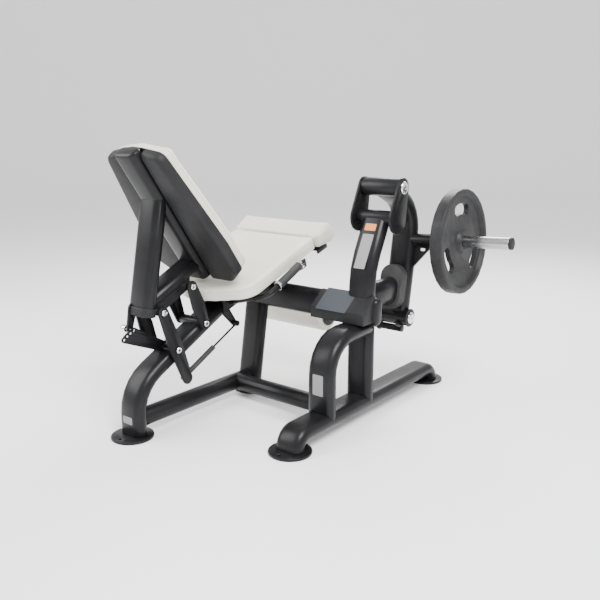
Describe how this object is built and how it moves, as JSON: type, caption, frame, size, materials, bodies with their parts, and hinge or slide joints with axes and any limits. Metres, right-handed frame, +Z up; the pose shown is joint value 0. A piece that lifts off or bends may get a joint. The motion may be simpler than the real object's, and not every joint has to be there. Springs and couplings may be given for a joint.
{
  "type": "leg extension machine",
  "caption": "Plate-loaded leg extension machine with a sloped seat, adjustable backrest, swinging bow arm, roller pad and weight horn on a black tube frame.",
  "frame": {"origin": "floor level at the middle of the rear foot plate's underside, on the seat's centre plane", "axes": "+Z up, +Y the way the sitting user faces, +X to the user's right, towards the weight horn"},
  "size_m": [1.3823, 1.495, 1.1494],
  "materials": {
    "painted_frame": "satin black powder coat",
    "steel": "satin",
    "chrome": "polished",
    "ivory_upholstery": "smooth ivory upholstery vinyl",
    "black_plastic": "fine matt grain",
    "black_rubber": "matt",
    "cast_iron": "grey-black hammered paint",
    "board": "dark-stained plywood"
  },
  "bodies": {
    "frame": {"rear_foot_plate": "painted_frame", "centre_foot_plate": "painted_frame", "right_rear_foot_plate": "painted_frame", "right_front_foot_plate": "painted_frame", "rear_frame_tube": "painted_frame", "base_long_tube": "painted_frame", "base_cross_tube": "painted_frame", "centre_upright": "painted_frame", "right_foot_tube": "painted_frame", "right_upright": "painted_frame", "arch_tube": "painted_frame", "main_beam": "painted_frame", "console_housing": "black_plastic", "tower_tube": "painted_frame", "tower_head_tube": "painted_frame", "hub_plate_left": "painted_frame", "hub_plate_right": "painted_frame", "hub_shaft": "steel", "hub_cap_left": "chrome", "hub_cap_right": "chrome", "stop_stub": "painted_frame", "stop_pad": "black_rubber", "seat_cushion": "ivory_upholstery", "seat_board": "board", "front_bolster": "ivory_upholstery", "seat_saddle": "painted_frame", "handle_right": "painted_frame", "handle_grip_right": "black_rubber", "handle_left": "painted_frame", "handle_grip_left": "black_rubber", "selector_plate": "painted_frame", "gas_bracket": "painted_frame"},
    "arm": {"arm_hub": "painted_frame", "hub_bearing_left": "steel", "hub_bearing_right": "steel", "arm_tube": "painted_frame", "lower_hub": "painted_frame", "weight_horn": "painted_frame", "weight_sleeve": "chrome", "horn_end_cap": "black_plastic"},
    "plate": {"weight_plate": "cast_iron"},
    "carriage": {"roller_carriage": "painted_frame", "lower_hub_cap": "chrome"},
    "roller": {"roller_core": "black_plastic", "roller_pad": "ivory_upholstery"},
    "rear_links": {"rear_link": "painted_frame"},
    "front_links": {"front_link": "painted_frame"},
    "backrest": {"back_shell": "black_plastic", "back_cushion": "ivory_upholstery", "back_tube": "painted_frame", "back_post": "painted_frame", "back_brace": "painted_frame", "post_end_cap": "black_plastic", "pivot_rail": "painted_frame", "pin_bracket": "painted_frame", "rear_top_bolt": "chrome", "front_top_bolt": "chrome"},
    "locking_pin": {"pull_pin": "chrome"},
    "gas_body": {"gas_cylinder": "black_rubber"},
    "gas_piston": {"gas_rod": "steel"}
  },
  "joints": [
    {"name": "arm_swing", "type": "hinge", "parent": "frame", "child": "arm", "pos_m": [0.583, 0.895, 0.961], "axis": [1, 0, 0], "range_deg": [0, 65]},
    {"name": "plate_slide", "type": "slide", "parent": "arm", "child": "plate", "axis": [0.9986, 0, 0.0523], "range_m": [0, 0.19]},
    {"name": "carriage_swivel", "type": "hinge", "parent": "arm", "child": "carriage", "pos_m": [0.583, 1.03, 0.383], "axis": [1, 0, 0], "range_deg": [-45, 45]},
    {"name": "roller_spin", "type": "hinge", "parent": "carriage", "child": "roller", "pos_m": [0, 1.03, 0.327], "axis": [1, 0, 0], "continuous": true},
    {"name": "rear_link_swing", "type": "hinge", "parent": "frame", "child": "rear_links", "pos_m": [0, 0.186, 0.33], "axis": [1, 0, 0], "range_deg": [0, 18]},
    {"name": "front_link_swing", "type": "hinge", "parent": "frame", "child": "front_links", "pos_m": [0, 0.3426, 0.4081], "axis": [1, 0, 0], "range_deg": [0, 18]},
    {"name": "backrest_level", "type": "hinge", "parent": "rear_links", "child": "backrest", "pos_m": [0, 0.1225, 0.496], "axis": [1, 0, 0], "range_deg": [-18, 0]},
    {"name": "gas_body_pivot", "type": "hinge", "parent": "rear_links", "child": "gas_body", "pos_m": [0.05, 0.23781, 0.19457], "axis": [1, 0, 0], "range_deg": [-18.5, 0]},
    {"name": "gas_piston_slide", "type": "slide", "parent": "gas_body", "child": "gas_piston", "axis": [0, 0.8918, 0.4524], "range_m": [-0.046, 0]},
    {"name": "pin_pull", "type": "slide", "parent": "backrest", "child": "locking_pin", "axis": [1, 0, 0], "range_m": [0, 0.01]}
  ],
  "couplings": [
    {"joint": "front_link_swing", "follows": "rear_link_swing", "ratio": 1},
    {"joint": "backrest_level", "follows": "rear_link_swing", "ratio": -1},
    {"joint": "gas_body_pivot", "follows": "rear_link_swing", "ratio": -1.012},
    {"joint": "gas_piston_slide", "follows": "rear_link_swing", "m_per_rad": -0.1448}
  ]
}
